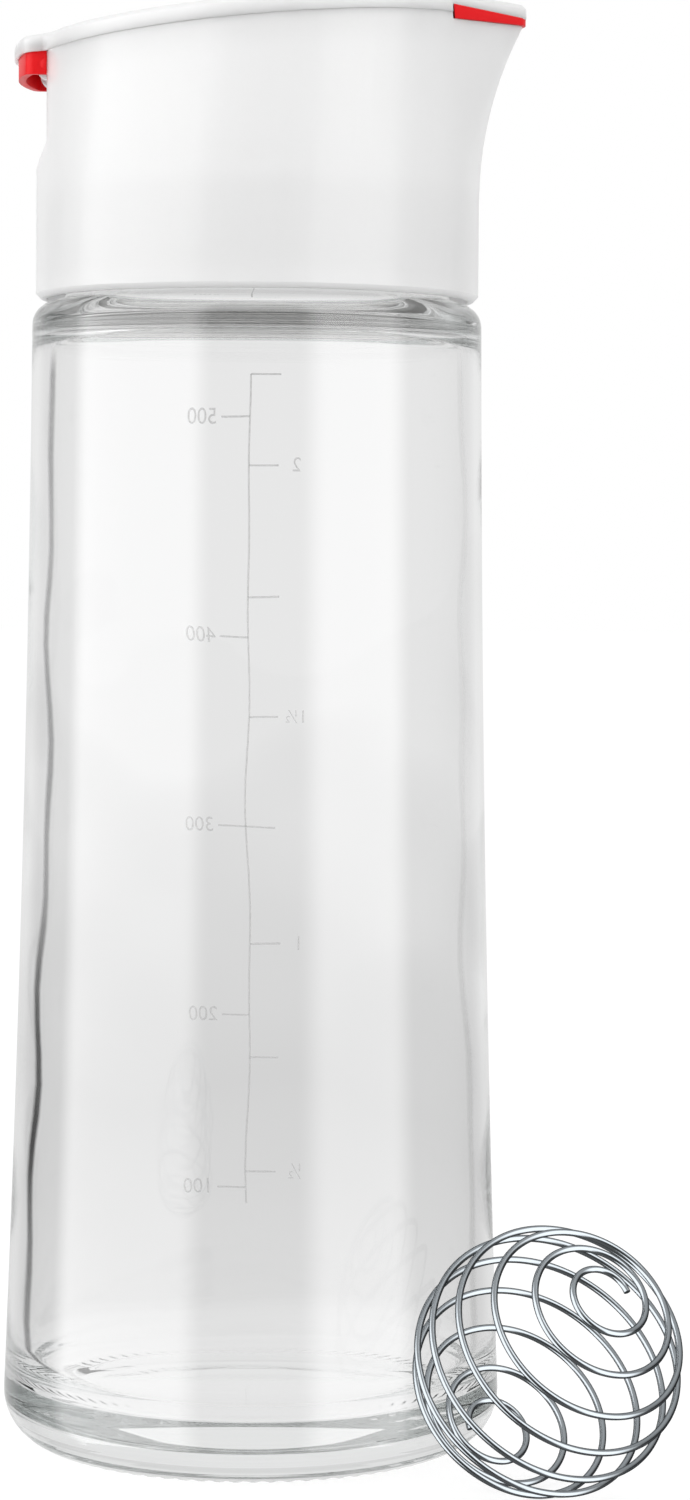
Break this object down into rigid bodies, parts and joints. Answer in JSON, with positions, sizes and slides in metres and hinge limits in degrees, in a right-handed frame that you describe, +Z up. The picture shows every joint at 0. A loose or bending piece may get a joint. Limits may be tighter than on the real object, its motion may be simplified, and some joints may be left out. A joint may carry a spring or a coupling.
{
  "type": "salad dressing shaker bottle",
  "caption": "Tapered clear glass shaker bottle with a white screw lid, a hinged flip cap over a pouring spout, and a loose spring wire whisk ball.",
  "frame": {"origin": "on the bottle's axis, in the plane of its standing ring", "axes": "+Z up along the bottle's axis, +X towards the pouring spout, thumb tab and cap hinge at -X"},
  "size_m": [0.0995, 0.0952, 0.2175],
  "materials": {
    "glass": "clear, polished by the mould and fire",
    "lid_white": "white, softly glossy",
    "frame_red": "red, satin",
    "ring_white": "natural white, satin",
    "silicone": "pale grey, matt",
    "steel": "bright drawn stainless wire"
  },
  "bodies": {
    "bottle": {"glass_bottle": "glass"},
    "gasket": {"neck_gasket": "silicone"},
    "ring": {"screw_ring": "ring_white"},
    "lid": {"lid_shell": "lid_white", "hinge_pin": "steel"},
    "flip_cap": {"cap_cover": "lid_white", "cap_frame": "frame_red", "spout_seal": "silicone", "vent_seal": "silicone"},
    "whisk": {"whisk_ball": "steel"}
  },
  "joints": [
    {"name": "lid_lift", "type": "slide", "parent": "bottle", "child": "gasket", "axis": [0, 0, 1], "range_m": [0, 0.05]},
    {"name": "lid_rise", "type": "slide", "parent": "gasket", "child": "ring", "axis": [0, 0, 1], "range_m": [0, 0.0063]},
    {"name": "lid_turn", "type": "hinge", "parent": "ring", "child": "lid", "pos_m": [0, 0, 0.18], "axis": [0, 0, 1], "range_deg": [0, 450]},
    {"name": "cap_flip", "type": "hinge", "parent": "lid", "child": "flip_cap", "pos_m": [-0.0313, 0, 0.2068], "axis": [0, -1, 0], "range_deg": [0, 100]},
    {"name": "whisk_lift", "type": "slide", "parent": "bottle", "child": "whisk", "axis": [0, 0, 1], "range_m": [0, 0.1]}
  ],
  "couplings": [
    {"joint": "lid_rise", "follows": "lid_turn", "m_per_rad": 0.00079577}
  ]
}
